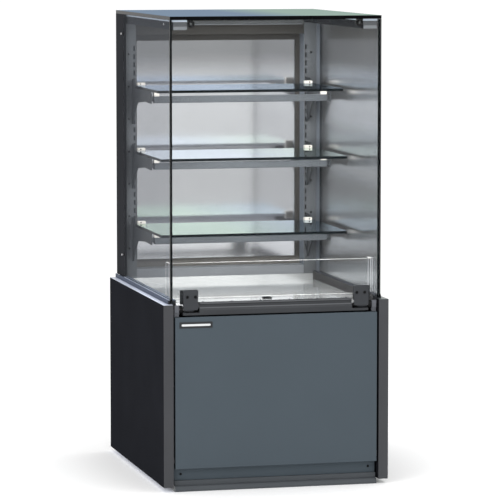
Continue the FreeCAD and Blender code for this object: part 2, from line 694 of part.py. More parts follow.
def rear_doors():
    """Framed display door with a brushed steel insert, and the base cabinet's door."""
    frame = []
    half, opening = "door_half", "opening_half"
    groove_low, groove_high = "insert_depth", "insert_depth + insert_thick"
    stile = [("opening_half", "opening_bottom"), (half, "door_bottom"), (half, "door_top"),
             ("opening_half", "opening_top")]
    rails = ([("-" + half, "door_bottom"), (half, "door_bottom"), (opening, "opening_bottom"),
              ("-" + opening, "opening_bottom")],
             [("-" + opening, "opening_top"), (opening, "opening_top"), (half, "door_top"),
              ("-" + half, "door_top")])
    groove = box(("-opening_half - insert_lap", "opening_half + insert_lap"),
                 (groove_low, groove_high),
                 ("opening_bottom - insert_lap", "opening_top + insert_lap"))
    right = prism("XZ", "door_front", "door_thick", stile)
    frame.append(cut(right, groove))
    frame.append(mirrored(frame[0]))
    for section in rails:
        frame.append(cut(prism("XZ", "door_front", "door_thick", section), groove))
    node(group(*frame), "rear_door_frame")
    node(box(("-opening_half - insert_lap", "opening_half + insert_lap"),
             (groove_low, groove_high),
             ("opening_bottom - insert_lap", "opening_top + insert_lap")), "rear_door_insert")
    node(door_handle("900"), "rear_door_handle")

    node(box(("-door_half", "base_door_edge"), ("door_front", "door_front + door_thick"),
             ("base_door_bottom", "base_door_top")), "base_door")
    node(door_handle("400"), "base_door_handle")

    display_fixed, display_turning = hinge_sets(("680", "1200"))
    base_fixed, base_turning = hinge_sets(("150", "440"))
    node(group(*(display_fixed + base_fixed)), "door_hinge_pins")
    node(group(*display_turning), "rear_door_knuckles")
    node(group(*base_turning), "base_door_knuckles")


def lamp_driver():
    """Power supply under the top board, with the gland for its supply lead."""
    back = "post_back - 10"
    case = box(("-driver_half", "driver_half"), (back + " - driver_depth", back),
               ("top_board_bottom - driver_height", "top_board_bottom"))
    gland = cylinder("gland_radius", "14", "driver_half", back + " - driver_depth/2",
                     "top_board_bottom - driver_height/2", RIGHT)
    node(fuse(case, gland), "lamp_driver")


side_panels()
front_and_kick()
carcass()
deck()
front_rail()
black_screws()
glazing()
top_rails()
rear_posts()
rear_frame()
steel_screws()
shelves()
riser()
front_glass()
front_hinges()
rear_doors()
lamp_driver()
doc.recompute()

# ------------------------------------------------------------------ checks and export

for obj in doc.Objects:
    if "Invalid" in obj.State or "Error" in obj.State:
        raise RuntimeError("%s failed: %s" % (obj.Name, obj.State))
for obj in parts:
    if obj.Shape.isNull() or not obj.Shape.isValid() or not obj.Shape.Solids:
        raise RuntimeError("%s has no valid shape" % obj.Label)

os.makedirs("parts", exist_ok=True)
for obj in parts:
    obj.Shape.exportStep("parts/%s.step" % obj.Label)
print("%d sub-parts written" % len(parts))
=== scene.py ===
import json
import math
import bmesh
import bpy
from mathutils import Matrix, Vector


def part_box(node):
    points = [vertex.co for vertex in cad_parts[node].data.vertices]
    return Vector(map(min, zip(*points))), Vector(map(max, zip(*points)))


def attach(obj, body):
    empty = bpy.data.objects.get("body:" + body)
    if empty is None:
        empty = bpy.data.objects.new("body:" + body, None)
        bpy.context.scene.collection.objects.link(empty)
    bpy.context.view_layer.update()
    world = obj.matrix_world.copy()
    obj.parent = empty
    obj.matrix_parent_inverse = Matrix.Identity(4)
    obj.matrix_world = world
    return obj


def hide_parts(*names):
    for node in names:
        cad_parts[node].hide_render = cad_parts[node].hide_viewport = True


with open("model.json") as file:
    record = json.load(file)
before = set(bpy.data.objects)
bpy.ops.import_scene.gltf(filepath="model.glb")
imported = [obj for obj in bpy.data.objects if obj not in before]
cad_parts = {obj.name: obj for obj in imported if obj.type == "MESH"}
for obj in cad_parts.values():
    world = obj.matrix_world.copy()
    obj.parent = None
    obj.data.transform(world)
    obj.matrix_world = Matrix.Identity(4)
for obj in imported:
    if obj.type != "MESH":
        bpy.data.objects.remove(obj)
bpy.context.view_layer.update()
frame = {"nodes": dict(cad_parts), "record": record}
NODES = frame["nodes"]

MM = 0.001
BODY_OF = {node: body for body, members in frame["record"]["behaviour"]["bodies"].items()
           for node in members}
SLOT_OF = {part["node"]: part["material_slot"] for part in frame["record"]["subparts"]}
SIDES = (-1, 1)                     # left and right as the customer sees the case
LEVELS = ("top", "middle", "bottom")
WHITE_LIGHT = (1.0, 1.0, 1.0, 1.0)
scene = bpy.context.scene


# ------------------------------------------------------------------ node material helpers

class Tree:
    """A material's node tree with short calls for the nodes used here."""

    def __init__(self, name):
        self.material = bpy.data.materials.new(name)
        self.material.use_nodes = True
        self.nodes = self.material.node_tree.nodes
        self.links = self.material.node_tree.links
        self.nodes.clear()
        self.output = self.nodes.new("ShaderNodeOutputMaterial")
        self.coords = self.nodes.new("ShaderNodeTexCoord")

    def node(self, kind, **inputs):
        made = self.nodes.new("ShaderNode" + kind)
        for key, value in inputs.items():
            self.feed(made, key.replace("_", " "), value)
        return made

    def feed(self, node, key, value):
        """Link or set an input, found by its name or by its number written as text."""
        socket = node.inputs[int(key)] if key.isdigit() else node.inputs[key]
        if isinstance(value, bpy.types.NodeSocket):
            self.links.new(value, socket)
        else:
            socket.default_value = value

    def shade(self, socket):
        self.links.new(socket, self.output.inputs["Surface"])
        return self.material

    def place(self, axis):
        """The object's own coordinate along an axis (0, 1 or 2)."""
        split = self.node("SeparateXYZ")
        self.links.new(self.coords.outputs["Object"], split.inputs[0])
        return split.outputs[axis]

    def noise(self, scale, detail=3.0, stretch=(1, 1, 1), rough=0.5):
        mapping = self.node("Mapping", Vector=self.coords.outputs["Object"], Scale=stretch)
        made = self.node("TexNoise", Vector=mapping.outputs["Vector"], Scale=scale,
                         Detail=detail, Roughness=rough)
        return made.outputs["Fac"]

    def ramp(self, value, low, high, low_at=0.3, high_at=0.7):
        """A colour that runs from low to high as a value rises from low_at to high_at."""
        made = self.node("ValToRGB", Fac=value)
        ends = made.color_ramp.elements
        ends[0].position, ends[1].position = low_at, high_at
        ends[0].color, ends[1].color = colour(low), colour(high)
        return made.outputs["Color"]

    def remap(self, value, low, high, low_in=0.3, high_in=0.7):
        made = self.node("MapRange", Value=value, From_Min=low_in, From_Max=high_in,
                         To_Min=low, To_Max=high)
        return made.outputs["Result"]

    def bump(self, value, strength, depth):
        made = self.node("Bump", Height=value, Strength=strength, Distance=depth)
        return made.outputs["Normal"]

    def math(self, operation, first, second=0.0):
        made = self.nodes.new("ShaderNodeMath")
        made.operation = operation
        self.feed(made, "0", first)
        self.feed(made, "1", second)
        return made.outputs[0]

    def blend(self, kind, factor, first, second):
        """Two colours put together, with kind MIX or MULTIPLY."""
        made = self.nodes.new("ShaderNodeMix")
        made.data_type = "RGBA"
        made.blend_type = kind
        self.feed(made, "0", factor)
        self.feed(made, "6", first)
        self.feed(made, "7", second)
        return made.outputs[2]

    def bands(self, value, stops):
        """A smooth curve through (value, share) stops."""
        low, high = stops[0][0], stops[-1][0]
        made = self.node("ValToRGB", Fac=self.remap(value, 0.0, 1.0, low, high))
        made.color_ramp.interpolation = "EASE"
        spread_stops(made.color_ramp, [((at - low)/(high - low), colour(share))
                                       for at, share in stops])
        return made.outputs["Color"]

    def by_height(self, tone, stops):
        """A tone times a share that follows the object's own z through (z, share) stops."""
        return self.blend("MULTIPLY", 1.0, tone, self.bands(self.place(2), stops))

    def mix_shader(self, factor, first, second):
        made = self.nodes.new("ShaderNodeMixShader")
        self.feed(made, "0", factor)
        self.feed(made, "1", first)
        self.feed(made, "2", second)
        return made.outputs[0]

    def facing(self, axis, way=0, least=0.7):
        """1 where the object's own surface faces along an axis (0, 1 or 2).

        way is 1 or -1 for one direction only, and 0 for both.
        """
        split = self.node("SeparateXYZ")
        self.links.new(self.coords.outputs["Normal"], split.inputs[0])
        if way:
            size = self.math("MULTIPLY", split.outputs[axis], way)
        else:
            size = self.math("ABSOLUTE", split.outputs[axis])
        return self.math("GREATER_THAN", size, least)


def spread_stops(ramp, stops):
    """Give a new two-stop ramp the (position, colour) stops of a list."""
    ends = ramp.elements
    for count, (position, tone) in enumerate(stops):
        stop = ends[count] if count < 2 else ends.new(position)
        stop.position = position
        stop.color = tone


def colour(value):
    """A linear colour with full alpha, from 3 numbers or one grey."""
    if isinstance(value, (int, float)):
        value = (value, value, value)
    return (*value, 1.0)


def srgb(red, green, blue):
    """A linear colour from 0-255 display values."""
    linear = []
    for channel in (red, green, blue):
        part = channel/255
        linear.append(part/12.92 if part <= 0.04045 else ((part + 0.055)/1.055)**2.4)
    return tuple(linear)


def tinted(base, share):
    return tuple(min(1.0, channel*share) for channel in base)


# noise scales, bump depths, and how far roughness wanders from its middle value
PAINT_CLOUD, PEEL_DEPTH, PAINT_SHEEN = 6.0, 0.0006, 0.04
BRUSH_CLOUD, BRUSH_DEPTH, BRUSH_SHEEN = 3.0, 0.0004, 0.03
BLAST_CLOUD, BLAST_DEPTH, BLAST_SHEEN = 2.5, 0.0003, 0.02
BRUSH_LINES = 420.0                 # noise scale across the brush lines
BRUSH_STRETCH = 0.012               # and the share of it along them
BLAST_GRAIN = 700.0
SMUDGES, SMUDGE_SHARE = 9.0, 0.98   # noise scale, and the share of the tint let through
STREAKS = 60.0                      # noise scale along a pane's edge


def paint_shader(tree, base, rough, specular, grain, bump, spread, heights=None):
    cloud = tree.noise(PAINT_CLOUD, 4.0)
    peel = tree.noise(grain, 2.0)
    tone = tree.ramp(cloud, tinted(base, 1 - spread), tinted(base, 1 + spread))
    if heights:
        tone = tree.by_height(tone, heights)
    shader = tree.node("BsdfPrincipled", Base_Color=tone,
                       Roughness=tree.remap(cloud, rough - PAINT_SHEEN, rough + PAINT_SHEEN),
                       Normal=tree.bump(peel, bump, PEEL_DEPTH), Specular_IOR_Level=specular)
    return shader.outputs[0]


def painted(name, base, rough=0.45, specular=0.3, grain=900.0, bump=0.06, spread=0.06,
            top=None, side=None, inner=None, rear=None, heights=None):
    """Powder coat or lacquer: fine orange-peel, faint cloudiness, slightly uneven sheen.

    top, side, inner and rear are (base, rough, specular) of painted light or shade on faces
    that look along Z, along X, towards -X and to the rear, lighter or darker by how the light
    falls.
    heights is a list of (z, share of the base tone), for a tone that varies up the piece.
    """
    tree = Tree(name)
    shader = paint_shader(tree, base, rough, specular, grain, bump, spread, heights)
    for other, face in ((top, (2, 0)), (side, (0, 0)), (inner, (0, -1)), (rear, (1, 1, 0.4))):
        if other:
            second = paint_shader(tree, *other, grain, bump, spread)
            shader = tree.mix_shader(tree.facing(*face), shader, second)
    return tree.shade(shader)


def moulded(name, base, rough=0.4, specular=0.5):
    """Injection-moulded plastic with a fine spark-eroded texture."""
    return painted(name, base, rough, specular, grain=1500.0, bump=0.08, spread=0.04)


def brushed(name, base, direction, rough=0.25, spread=0.10, bump=0.05, low=0.08,
            metallic=1.0):
    """Metal with fine parallel brush lines that run along an axis (0, 1 or 2).

    low is how much the roughness changes from line to line.
    """
    tree = Tree(name)
    stretch = [1.0, 1.0, 1.0]
    stretch[direction] = BRUSH_STRETCH
    lines = tree.noise(BRUSH_LINES, 3.0, stretch, 0.65)
    cloud = tree.noise(BRUSH_CLOUD, 3.0)
    tone = tree.ramp(lines, tinted(base, 1 - spread), tinted(base, 1 + spread))
    sheen = tree.math("ADD", tree.remap(lines, -low/2, low/2),
                      tree.remap(cloud, rough - BRUSH_SHEEN, rough + BRUSH_SHEEN))
    shader = tree.node("BsdfPrincipled", Base_Color=tone, Roughness=sheen,
                       Normal=tree.bump(lines, bump, BRUSH_DEPTH), Metallic=metallic)
    return tree.shade(shader.outputs[0])


def satin(name, base, rough, bump, heights, spread=0.05):
    """Blasted or satin-polished metal: fine even grain with no direction.

    heights is a list of (z, share of the base tone), for painted reflections that run in
    bands of light and shade up the sheet.
    """
    tree = Tree(name)
    grains = tree.noise(BLAST_GRAIN, 3.0)
    cloud = tree.noise(BLAST_CLOUD, 3.0)
    tone = tree.ramp(grains, tinted(base, 1 - spread), tinted(base, 1 + spread))
    shader = tree.node("BsdfPrincipled", Base_Color=tree.by_height(tone, heights),
                       Roughness=tree.remap(cloud, rough - BLAST_SHEEN, rough + BLAST_SHEEN),
                       Normal=tree.bump(grains, bump, BLAST_DEPTH), Metallic=1.0)
    return tree.shade(shader.outputs[0])


def clear(name, tint, gloss_tint, edge, face_axes, head_on=0.04, slant=0.96, power=5.0,
          edge_rough=0.12, blend_x=None, haze=0.0, haze_rough=0.3, edge_shine=0.05,
          tint_heights=None, rear_edge=None, lean=0.0):
    """A sheet of glass: see-through faces that mirror more at a slant, and coloured edges.

    face_axes are the axes its large faces look along; every other face is an edge.
    head_on is the share mirrored straight on, and slant*(1 - cosine)**power is added to it.
    blend_x is (second mirror tint, left x, right x): a painted reflection whose tint
    changes across the pane.
    haze is the share of the mirror image that is blurred, by haze_rough.
    tint_heights is a list of (z, share of the mirror tint), for painted reflection bands
    up a pane.
    rear_edge is a painted highlight: the colour of an edge that looks to the rear.
    lean turns an upright side pane's mirroring towards the front (negative) by that slope.
    """
    tree = Tree(name)
    smudge = tree.ramp(tree.noise(SMUDGES, 4.0), tinted(tint, SMUDGE_SHARE), tint, 0.25, 0.75)
    body = tree.node("BsdfTransparent", Color=smudge)
    tone = colour(gloss_tint)
    if blend_x:
        second, left, right = blend_x
        across = tree.remap(tree.place(0), 0.0, 1.0, left, right)
        tone = tree.ramp(across, gloss_tint, second, 0.0, 1.0)
    if tint_heights:
        tone = tree.by_height(tone, tint_heights)
    mirror = tree.node("BsdfGlossy", Roughness=0.0, Color=tone).outputs[0]
    if haze:
        soft = tree.node("BsdfGlossy", Roughness=haze_rough, Color=tone).outputs[0]
        mirror = tree.mix_shader(haze, mirror, soft)
    weight = tree.node("LayerWeight", Blend=0.5)
    if lean:
        tilted = tree.node("CombineXYZ", X=1.0, Y=lean)
        tree.links.new(tilted.outputs[0], weight.inputs["Normal"])
    curve = tree.math("POWER", weight.outputs["Facing"], power)
    share = tree.math("ADD", tree.math("MULTIPLY", curve, slant), head_on)
    share.node.use_clamp = True
    pane = tree.mix_shader(share, body.outputs[0], mirror)
    streak = tree.noise(STREAKS, 3.0, (1, 1, 0.2))
    tone = tree.ramp(streak, tinted(edge, 0.75), tinted(edge, 1.2))
    if rear_edge:
        pale = tree.ramp(streak, tinted(rear_edge, 0.9), rear_edge)
        tone = tree.blend("MIX", tree.facing(1, 1), tone, pale)
    rim = tree.node("BsdfPrincipled", Base_Color=tone, Roughness=edge_rough,
                    Specular_IOR_Level=edge_shine)
    face = tree.facing(face_axes[0])
    for axis in face_axes[1:]:
        face = tree.math("MAXIMUM", face, tree.facing(axis))
    return tree.shade(tree.mix_shader(face, rim.outputs[0], pane))


# ------------------------------------------------------------------ camera, light, floor

CAMERA_AT = (-2.2980, -9.2294, 1.6249)
CAMERA_DOWN, CAMERA_RIGHT = 5.797, 14.090       # degrees from level and from straight ahead
LENS, SENSOR = 227.88, 36.0


def place_camera():
    """The photographer's view: from the left, a little above, with a long lens."""
    data = bpy.data.cameras.new("camera")
    camera = bpy.data.objects.new("camera", data)
    scene.collection.objects.link(camera)
    data.sensor_width = SENSOR
    data.lens = LENS
    data.clip_start, data.clip_end = 0.1, 200.0
    camera.location = CAMERA_AT
    camera.rotation_euler = (math.radians(90 - CAMERA_DOWN), 0.0, math.radians(-CAMERA_RIGHT))
    scene.camera = camera


def area_light(name, at, aim, size, watts):
    data = bpy.data.lights.new(name, "AREA")
    data.shape = "RECTANGLE"
    data.size, data.size_y = size
    data.energy = watts
    lamp = bpy.data.objects.new(name, data)
    scene.collection.objects.link(lamp)
    lamp.location = at
    lamp.rotation_euler = (Vector(aim) - Vector(at)).to_track_quat("-Z", "Y").to_euler()
    return lamp


SKY_STRENGTH = 1.06
MIRRORED_SKY = [(-1.0, 0.5), (-0.3, 0.66), (-0.02, 0.85), (0.02, 1.12), (0.5, 0.85),
                (1.0, 0.55)]        # (z of the direction, brightness) as mirrored
SOFT_BOX = 1.35                     # how much brighter the front of the mirrored studio is
SOFT_BOX_RISE = 0.04                # z over which it sets in above the horizon
SOFT_BOX_EDGE = -0.5                # y of the direction where it ends
STUDIO = [("overhead", (0.3, -0.6, 3.4), (0, 0, 0.6), (2.4, 2.4), 30),
          ("key", (-3.4, -3.6, 2.6), (0, 0, 0.7), (2.0, 2.4), 40)]
FILLS = [("fill_0", (0, -0.36, 0.85), (0, 0.3, 0.75), (0.5, 0.5), 5.0),
         ("fill_1", (0, -0.05, 1.34), (0, -0.05, 0.5), (0.45, 0.5), 4.0)]


def light_studio():
    """A white studio; what shiny surfaces mirror is brightest near the horizon."""
    world = bpy.data.worlds.new("studio")
    scene.world = world
    world.use_nodes = True
    nodes, links = world.node_tree.nodes, world.node_tree.links
    background = nodes["Background"]
    coords = nodes.new("ShaderNodeTexCoord")
    split = nodes.new("ShaderNodeSeparateXYZ")
    links.new(coords.outputs["Generated"], split.inputs[0])
    height = nodes.new("ShaderNodeMapRange")
    height.inputs["From Min"].default_value = -1.0
    links.new(split.outputs[2], height.inputs["Value"])
    sky = nodes.new("ShaderNodeValToRGB")
    spread_stops(sky.color_ramp, [((up + 1)/2, colour(tone)) for up, tone in MIRRORED_SKY])
    links.new(height.outputs[0], sky.inputs["Fac"])
    # a wide soft box in front, above the horizon, seen only in reflections
    risen = nodes.new("ShaderNodeMapRange")
    for key, number in (("From Min", 0.0), ("From Max", SOFT_BOX_RISE), ("To Min", 1.0),
                        ("To Max", SOFT_BOX)):
        risen.inputs[key].default_value = number
    links.new(split.outputs[2], risen.inputs["Value"])
    ahead = nodes.new("ShaderNodeMath")
    ahead.operation = "LESS_THAN"
    ahead.inputs[1].default_value = SOFT_BOX_EDGE
    links.new(split.outputs[1], ahead.inputs[0])
    boxed = nodes.new("ShaderNodeMix")
    links.new(ahead.outputs[0], boxed.inputs[0])
    boxed.inputs[2].default_value = 1.0
    links.new(risen.outputs[0], boxed.inputs[3])
    lit = nodes.new("ShaderNodeVectorMath")
    lit.operation = "SCALE"
    links.new(sky.outputs["Color"], lit.inputs[0])
    links.new(boxed.outputs[0], lit.inputs["Scale"])
    path = nodes.new("ShaderNodeLightPath")
    choose = nodes.new("ShaderNodeMix")
    choose.data_type = "RGBA"
    links.new(path.outputs["Is Glossy Ray"], choose.inputs[0])
    choose.inputs[6].default_value = WHITE_LIGHT
    links.new(lit.outputs[0], choose.inputs[7])
    links.new(choose.outputs[2], background.inputs["Color"])
    background.inputs["Strength"].default_value = SKY_STRENGTH
    world.cycles.sampling_method = "NONE"
    for lamp in STUDIO:
        area_light(*lamp)
    for fill in FILLS:              # soft light inside the chamber, from lamps that stay unseen
        lamp = area_light(*fill)
        lamp.visible_camera = False
        lamp.visible_glossy = False
        lamp.visible_transmission = False
    scene.view_settings.view_transform = "Standard"
    scene.cycles.transparent_max_bounces = 48
    scene.cycles.max_bounces = 14
    scene.cycles.glossy_bounces = 8


FLOOR_RADIUS = 60.0
FLOOR_GLOW = 0.07
FLOOR_TONES = (0.93,)*3, (0.95,)*3


def lay_floor():
    mesh = bpy.data.meshes.new("floor")
    made = bmesh.new()
    bmesh.ops.create_circle(made, cap_ends=True, segments=96, radius=FLOOR_RADIUS)
    made.to_mesh(mesh)
    made.free()
    floor = bpy.data.objects.new("floor", mesh)
    scene.collection.objects.link(floor)
    tree = Tree("floor_paint")
    shader = tree.node("BsdfPrincipled", Roughness=0.75, Specular_IOR_Level=0.0,
                       Base_Color=tree.ramp(tree.noise(1.4, 3.0), *FLOOR_TONES),
                       Emission_Color=WHITE_LIGHT, Emission_Strength=FLOOR_GLOW)
    mesh.materials.append(tree.shade(shader.outputs[0]))
    floor.visible_glossy = False


# ------------------------------------------------------------------ pieces from the frame

SAME_POINT = 1e-5
EDGE_ROUND = 0.6*MM
EDGE_SEGMENTS = 2
EDGE_ANGLE = math.radians(35.0)     # edges sharper than this are rounded
FLAT_ANGLE = math.radians(1.0)      # faces flatter than this are joined first


def finish_node(node, material):
    """A CAD node keeps its shape and takes a material."""
    mesh = NODES[node].data
    mesh.materials.clear()
    mesh.materials.append(material)


def refined(node, material):
    """A copy of a CAD node's shape with its edges rounded, shown in the node's place."""
    made = bmesh.new()
    made.from_mesh(NODES[node].data)
    bmesh.ops.remove_doubles(made, verts=made.verts, dist=SAME_POINT)
    bmesh.ops.dissolve_limit(made, angle_limit=FLAT_ANGLE, verts=made.verts,
                             edges=made.edges)
    mesh = bpy.data.meshes.new(node + "_look")
    made.to_mesh(mesh)
    made.free()
    mesh.materials.append(material)
    piece = bpy.data.objects.new(node + "_look", mesh)
    scene.collection.objects.link(piece)
    round_over = piece.modifiers.new("edges", "BEVEL")
    round_over.width = EDGE_ROUND
    round_over.segments = EDGE_SEGMENTS
    round_over.limit_method = "ANGLE"
    round_over.angle_limit = EDGE_ANGLE
    for face in mesh.polygons:
        face.use_smooth = False
    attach(piece, BODY_OF[node])
    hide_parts(node)


place_camera()
light_studio()
lay_floor()

PANEL = srgb(34, 35, 39)
DARK_PANEL = painted("panel_dark", PANEL, rough=0.6, specular=0.0)
# painted light: the left panel's faces that look along Z are a pale painted highlight, the
# right panel's a dimmer painted sheen
PANEL_LEFT_TOP_HIGHLIGHT = painted("panel_left", PANEL, rough=0.6, specular=0.0,
                     top=(srgb(206, 212, 228), 0.4, 0.5))
PANEL_RIGHT_TOP_SHEEN = painted("panel_right", PANEL, rough=0.6, specular=0.0,
                      top=(srgb(108, 116, 114), 0.4, 0.2))
# painted light: the left bottom rail's top and sides are a lit blue-grey sheen, the right
# rail's a shaded grey
RAIL_LEFT_SHEEN = painted("rail_left_painted_sheen", srgb(52, 54, 58), rough=0.45, specular=0.1,
                    top=(srgb(82, 91, 108), 0.45, 0.1), side=(srgb(74, 82, 98), 0.5, 0.05))
RAIL_RIGHT_SHADE = painted("rail_right", srgb(52, 54, 58), rough=0.45, specular=0.1,
                     top=(srgb(58, 60, 66), 0.45, 0.05), side=(srgb(56, 55, 56), 0.5, 0.05))
STRIP_GREY = painted("trim_grey", srgb(68, 69, 72), rough=0.5, specular=0.15)
BLUE_GREY = painted("front_blue_grey", srgb(73, 82, 89), rough=0.5, specular=0.1,
                    spread=0.02)
PROFILE_DARK = painted("profile_dark", srgb(56, 58, 61), rough=0.4, specular=0.2)
# painted shade: faces of the posts and top rails that look along X are darker; the right post's
# faces towards -X are painted light
PROFILE_SHADED_SIDES = painted("profile_grey", srgb(93, 95, 98), rough=0.45, specular=0.08,
                       side=(srgb(48, 49, 52), 0.6, 0.0))
PROFILE_RIGHT_LIT_INNER = painted("profile_right_lit_inner", srgb(93, 95, 98), rough=0.45, specular=0.08,
                        side=(srgb(48, 49, 52), 0.6, 0.0),
                        inner=(srgb(112, 117, 125), 0.5, 0.05))
INSERT_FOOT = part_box("rear_door_insert")[0][2]
# painted light, paler towards its foot, as it looks in the photo
FRAME_LIT_FOOT = painted("frame_grey_lit_foot", srgb(64, 62, 60), rough=0.45, specular=0.08,
                     heights=[(INSERT_FOOT - 0.06, 2.4), (INSERT_FOOT - 0.004, 2.7),
                              (INSERT_FOOT + 0.014, 1.0), (1.3, 1.0)])
HEADER_GREY = painted("header_grey", srgb(58, 56, 54), rough=0.5, specular=0.02)
KICK_GREY = painted("kick_grey", srgb(74, 78, 82), rough=0.4, specular=0.2)
SILL_GREY = painted("sill_grey", srgb(126, 128, 132), rough=0.5, specular=0.1)
PALE_GREY = painted("pale_grey", srgb(132, 135, 139), rough=0.45, specular=0.1)
BOARD = painted("board_grey", srgb(150, 150, 152), rough=0.6, specular=0.2)
BLACK = moulded("plastic_black", srgb(12, 12, 13), rough=0.45, specular=0.15)
WHITE = moulded("plastic_white", srgb(228, 222, 214), rough=0.4)
TAPE = moulded("tape_white", srgb(205, 214, 228), rough=0.7)
DECK = brushed("deck_steel", (0.74, 0.745, 0.745), 1, rough=0.115, bump=0.002, spread=0.02,
               low=0.02, metallic=0.6)
# painted reflections: the door's steel is paler and darker in bands up the sheet
INSERT = satin("door_steel", (0.68, 0.685, 0.71), rough=0.105, bump=0.012,
               heights=[(0.56, 1.2), (0.66, 1.4), (0.76, 0.95), (0.85, 0.92), (1.0, 1.1),
                        (1.13, 1.15), (1.25, 0.5)])
BRIGHT = brushed("screw_steel", (0.75, 0.75, 0.76), 0, rough=0.3)
HANDLE = brushed("handle_steel", (0.6, 0.6, 0.61), 2, rough=0.28)
HINGE = painted("hinge_grey", srgb(60, 62, 65), rough=0.42, specular=0.08)
# painted highlight: the lamp bars' rear faces are pale, for a bright band mirrored in the
# door's steel
LAMP = painted("lamp_dark", srgb(76, 79, 83), rough=0.4, specular=0.12,
               rear=(srgb(205, 206, 214), 0.5, 0.2))
LAMP_TOP = painted("lamp_housing", srgb(84, 85, 87), rough=0.35, specular=0.1)
BLOCK = moulded("block_grey", srgb(100, 102, 108), specular=0.1)
BADGE = painted("badge", srgb(48, 50, 52), rough=0.3, specular=0.2)
FEET = moulded("feet", srgb(30, 30, 30), rough=0.6)
DRIVER = moulded("driver", srgb(215, 215, 215), rough=0.5)
EDGE_DARK = srgb(9, 13, 15)
GLASS_FRONT = clear("glass_front", (0.99, 0.995, 0.993), (0.9, 0.95, 1.0), EDGE_DARK, (1,),
                    head_on=0.006)
# painted reflections: the left pane mirrors through a dark tint, the right one through a paler
# tint in bands up the pane
GLASS_LEFT = clear("glass_left", (0.955, 0.96, 0.965), (0.2, 0.215, 0.24), EDGE_DARK, (0,),
                   head_on=0.02, slant=0.32, power=3.0)
GLASS_RIGHT = clear("glass_right", (0.96, 0.965, 0.97), (0.40, 0.412, 0.43), EDGE_DARK, (0,),
                    head_on=0.03, slant=1.1, haze=0.9, haze_rough=0.2, lean=-0.2,
                    tint_heights=[(0.60, 1.1), (0.692, 1.2), (0.767, 1.0), (0.843, 0.72),
                                  (0.918, 1.25), (1.0, 1.0), (1.06, 1.5), (1.12, 1.65),
                                  (1.18, 1.45), (1.234, 0.78), (1.29, 0.95)])
# painted reflection: the top glass's mirror tint runs from blue-grey on the left to green-grey
# on the right
GLASS_TOP = clear("glass_top", (0.93, 0.95, 0.945), (0.185, 0.245, 0.325), srgb(4, 5, 6), (2,),
                  slant=1.6, power=4.0, blend_x=((0.285, 0.38, 0.335), -0.05, 0.12))
# painted reflections: the mirror's tint over the left and the right half of each shelf
SHELF_TINTS = {"top": ((0.46, 0.53, 0.63), (0.33, 0.38, 0.42)),
               "middle": ((0.72, 0.77, 0.83), (0.73, 0.80, 0.76)),
               "bottom": ((0.68, 0.80, 0.72), (0.64, 0.72, 0.78))}
# painted highlight: each shelf's rear edge is pale
SHELF_GLASS = {level: clear("glass_shelf_" + level, (0.97, 0.98, 0.978), left, EDGE_DARK, (2,),
                            slant=1.4, blend_x=(right, -0.05, 0.2),
                            rear_edge=(0.80, 0.81, 0.86))
               for level, (left, right) in SHELF_TINTS.items()}
ACRYLIC = clear("clear_acrylic", (0.99, 0.99, 0.99), (1, 1, 1), (0.92, 0.89, 0.85), (1, 0),
                head_on=0.008, slant=0.2, edge_rough=0.5, edge_shine=0.5)
# painted highlight for the front rail's lip and bead
RAIL_HIGHLIGHT = painted("rail_painted_highlight", srgb(94, 96, 99), rough=0.4, specular=0.15)
# painted highlight: pale strips that stand in for glints on the riser's edges
RISER_GLINT = moulded("riser_edge_highlight", (0.66, 0.67, 0.70), rough=0.35, specular=0.5)
# painted light: the seal is lit pale for the left glass and shaded dark for the right
SEAL_LIT = moulded("seal_painted_highlight", srgb(186, 196, 214), rough=0.4, specular=0.3)
SEAL_SHADE = moulded("seal_painted_shade", srgb(72, 74, 80), rough=0.5, specular=0.1)
SCREW_BLACK = moulded("screw_black", srgb(17, 18, 19), rough=0.4, specular=0.12)
FROSTED = moulded("frosted_cover", srgb(226, 226, 222), rough=0.5, specular=0.3)
MAGNET = brushed("magnet_steel", (0.22, 0.22, 0.23), 0, rough=0.35)
PALE_BAR = painted("badge_light", srgb(214, 216, 217), rough=0.35, specular=0.2)

